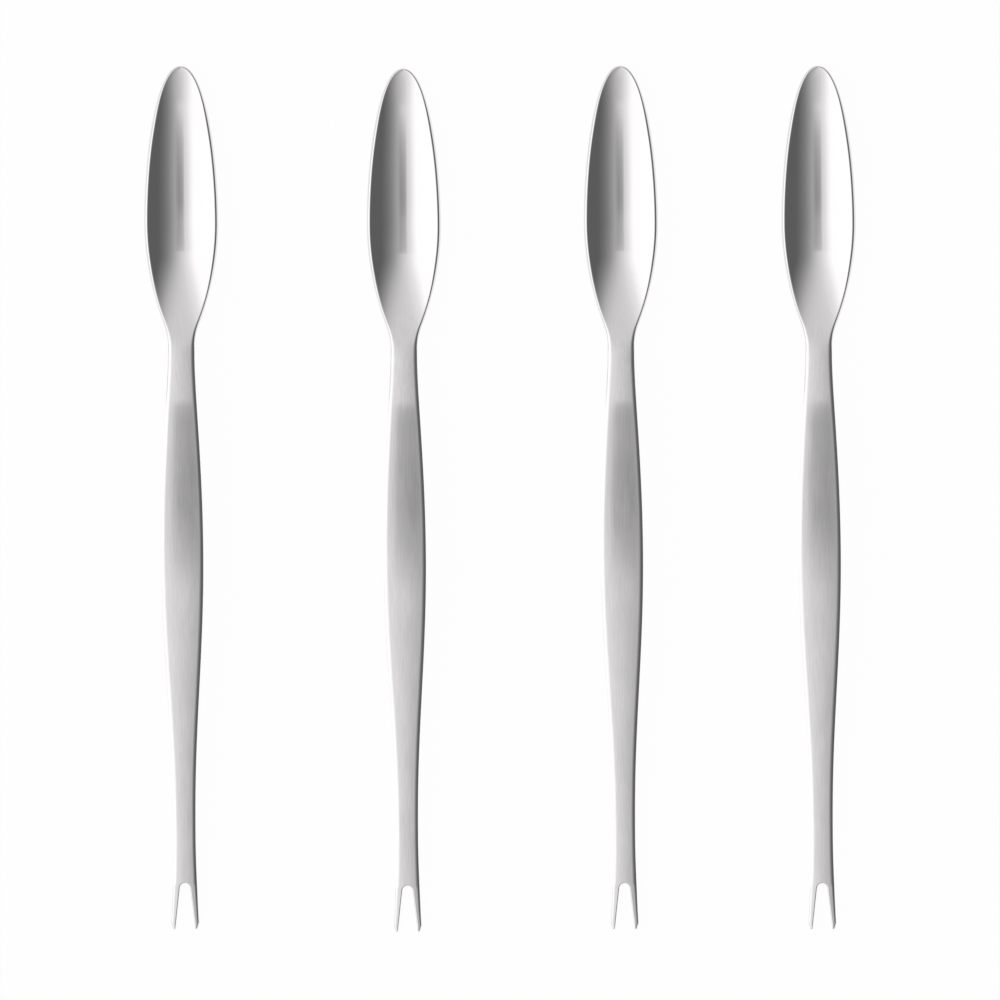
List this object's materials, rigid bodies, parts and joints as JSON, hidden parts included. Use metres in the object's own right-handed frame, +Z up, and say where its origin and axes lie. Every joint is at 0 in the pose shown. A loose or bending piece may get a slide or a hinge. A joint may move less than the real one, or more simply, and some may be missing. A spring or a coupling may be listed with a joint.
{
  "type": "seafood fork set",
  "caption": "Two-ended seafood forks of pressed stainless steel, each with a long pointed bowl, a bent neck, a flat arched handle and small spread tines.",
  "frame": {"origin": "on the table, under the middle of the row of forks", "axes": "+Y along the forks towards the bowl tips, +X across the row to the right seen from above, +Z up from the table"},
  "size_m": [0.1648, 0.2006, 0.0081],
  "materials": {
    "stainless_steel": "satin polish, brushed lengthwise on the handle"
  },
  "bodies": {
    "fork_1": {"fork_1": "stainless_steel"},
    "fork_2": {"fork_2": "stainless_steel"},
    "fork_3": {"fork_3": "stainless_steel"},
    "fork_4": {"fork_4": "stainless_steel"}
  },
  "joints": [
    {"name": "fork_2_lift", "type": "slide", "parent": "fork_1", "child": "fork_2", "axis": [0, 0, 1], "range_m": [0, 0.1]},
    {"name": "fork_3_lift", "type": "slide", "parent": "fork_1", "child": "fork_3", "axis": [0, 0, 1], "range_m": [0, 0.1]},
    {"name": "fork_4_lift", "type": "slide", "parent": "fork_1", "child": "fork_4", "axis": [0, 0, 1], "range_m": [0, 0.1]}
  ]
}
